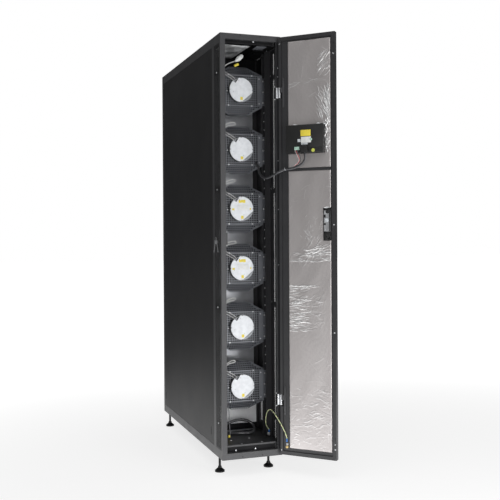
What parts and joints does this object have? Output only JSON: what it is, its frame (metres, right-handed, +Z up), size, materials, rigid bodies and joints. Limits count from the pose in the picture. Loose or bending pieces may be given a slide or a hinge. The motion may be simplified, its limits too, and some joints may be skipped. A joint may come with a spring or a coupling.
{
  "type": "in row cooling unit",
  "caption": "Tall narrow rack-row cooling unit with a column of centrifugal fans, foil-lined hinged front door, perforated side air outlets, cooling coil, and levelling feet.",
  "frame": {"origin": "centre of the four bolt-down holes, on the underside of the base frame", "axes": "+X towards the door hinges, -Y out of the front of the cabinet, +Z up"},
  "size_m": [0.5047, 1.4243, 2.085],
  "materials": {
    "powder_black": "fine-texture black powder coat, satin",
    "panel_black": "fine-texture black powder coat, satin",
    "bulkhead_grey": "glossy dark grey paint",
    "cradle_black": "black coated perforated sheet, satin",
    "zinc": "bright zinc plated steel",
    "galvanised": "galvanised sheet",
    "motor_alloy": "bead-blasted die-cast aluminium",
    "impeller_dark": "glass-filled plastic, matte",
    "lead_grey": "grey cable jacket",
    "duct_grey": "grey plastic trunking",
    "hose_rubber": "black rubber hose",
    "coil_alloy": "aluminium fins, semi-bright",
    "copper": "bare copper tube, slightly dull",
    "valve_brass": "cast brass",
    "filter_white": "pleated fibre medium in a card frame",
    "enclosure_grey": "light grey powder coat",
    "foot_black": "black moulded pad on a steel stem",
    "foil": "crinkled aluminium foil on foam",
    "screen": "dark glass display",
    "box_black": "black painted sheet, satin",
    "terminal_green": "green connector plastic",
    "cable_black": "black cable jacket",
    "wire_earth": "yellow and green striped insulation"
  },
  "bodies": {
    "cabinet": {"base_frame": "powder_black", "top_frame": "powder_black", "front_post_left": "powder_black", "front_post_right": "powder_black", "rear_post_left": "powder_black", "rear_post_right": "powder_black", "side_panel_left": "panel_black", "side_panel_right": "panel_black", "roof_panel": "panel_black", "vent_strip_left": "panel_black", "vent_strip_right": "panel_black", "fan_bulkhead": "bulkhead_grey", "inlet_rings": "galvanised", "fan_rails": "powder_black", "fan_cradle_1": "cradle_black", "fan_cradle_2": "cradle_black", "fan_cradle_3": "cradle_black", "fan_cradle_4": "cradle_black", "fan_cradle_5": "cradle_black", "fan_cradle_6": "cradle_black", "fan_motors": "motor_alloy", "fan_leads": "lead_grey", "cable_duct": "duct_grey", "floor_tray": "powder_black", "drain_hose": "hose_rubber", "cooling_coil": "coil_alloy", "coil_headers": "copper", "control_valve": "valve_brass", "drain_pan": "galvanised", "air_filters": "filter_white", "power_box": "enclosure_grey", "frame_screws": "zinc", "frame_hinges": "zinc", "controller_cable": "cable_black", "earth_wire": "wire_earth"},
    "front_door": {"door_skin": "powder_black", "door_inner_frame": "powder_black", "door_insulation": "foil", "display_panel": "screen", "controller_box": "box_black", "door_terminals": "terminal_green", "lock_body": "zinc", "door_hinge_leaves": "zinc", "handle_dish": "powder_black"},
    "door_latch": {"latch_cam": "zinc"},
    "door_handle": {"handle_lever": "powder_black"},
    "rear_door": {"rear_door": "powder_black", "rear_door_mesh": "panel_black", "rear_hinge_leaves": "zinc"},
    "rear_latch": {"rear_latch": "zinc"},
    "fan_wheel_1": {"impeller_1": "impeller_dark"},
    "fan_wheel_2": {"impeller_2": "impeller_dark"},
    "fan_wheel_3": {"impeller_3": "impeller_dark"},
    "fan_wheel_4": {"impeller_4": "impeller_dark"},
    "fan_wheel_5": {"impeller_5": "impeller_dark"},
    "fan_wheel_6": {"impeller_6": "impeller_dark"},
    "levelling_foot_1": {"foot_1": "foot_black"},
    "levelling_foot_2": {"foot_2": "foot_black"},
    "levelling_foot_3": {"foot_3": "foot_black"},
    "levelling_foot_4": {"foot_4": "foot_black"}
  },
  "joints": [
    {"name": "front_door_hinge", "type": "hinge", "parent": "cabinet", "child": "front_door", "pos_m": [0.141, -0.611, 1], "axis": [0, 0, 1], "range_deg": [-135, 0], "deforming": ["controller_cable", "earth_wire"]},
    {"name": "latch_turn", "type": "hinge", "parent": "front_door", "child": "door_latch", "pos_m": [0.31636, -0.77646, 1.053], "axis": [-0.7071, -0.7071, 0], "range_deg": [0, 90]},
    {"name": "handle_lift", "type": "hinge", "parent": "door_latch", "child": "door_handle", "pos_m": [0.33722, -0.7556, 1.053], "axis": [0, 0, -1], "range_deg": [0, 35]},
    {"name": "rear_door_hinge", "type": "hinge", "parent": "cabinet", "child": "rear_door", "pos_m": [0.141, 0.581, 1], "axis": [0, 0, -1], "range_deg": [0, 120]},
    {"name": "rear_latch_turn", "type": "hinge", "parent": "rear_door", "child": "rear_latch", "pos_m": [-0.117, 0.586, 1], "axis": [0, -1, 0], "range_deg": [0, 90]},
    {"name": "fan_spin_1", "type": "hinge", "parent": "cabinet", "child": "fan_wheel_1", "pos_m": [0, -0.34, 0.313], "axis": [0, 1, 0], "continuous": true},
    {"name": "fan_spin_2", "type": "hinge", "parent": "cabinet", "child": "fan_wheel_2", "pos_m": [0, -0.34, 0.603], "axis": [0, 1, 0], "continuous": true},
    {"name": "fan_spin_3", "type": "hinge", "parent": "cabinet", "child": "fan_wheel_3", "pos_m": [0, -0.34, 0.893], "axis": [0, 1, 0], "continuous": true},
    {"name": "fan_spin_4", "type": "hinge", "parent": "cabinet", "child": "fan_wheel_4", "pos_m": [0, -0.34, 1.183], "axis": [0, 1, 0], "continuous": true},
    {"name": "fan_spin_5", "type": "hinge", "parent": "cabinet", "child": "fan_wheel_5", "pos_m": [0, -0.34, 1.473], "axis": [0, 1, 0], "continuous": true},
    {"name": "fan_spin_6", "type": "hinge", "parent": "cabinet", "child": "fan_wheel_6", "pos_m": [0, -0.34, 1.763], "axis": [0, 1, 0], "continuous": true},
    {"name": "foot_adjust_1", "type": "slide", "parent": "cabinet", "child": "levelling_foot_1", "axis": [0, 0, 1], "range_m": [-0.008, 0.02]},
    {"name": "foot_adjust_2", "type": "slide", "parent": "cabinet", "child": "levelling_foot_2", "axis": [0, 0, 1], "range_m": [-0.008, 0.02]},
    {"name": "foot_adjust_3", "type": "slide", "parent": "cabinet", "child": "levelling_foot_3", "axis": [0, 0, 1], "range_m": [-0.008, 0.02]},
    {"name": "foot_adjust_4", "type": "slide", "parent": "cabinet", "child": "levelling_foot_4", "axis": [0, 0, 1], "range_m": [-0.008, 0.02]}
  ]
}
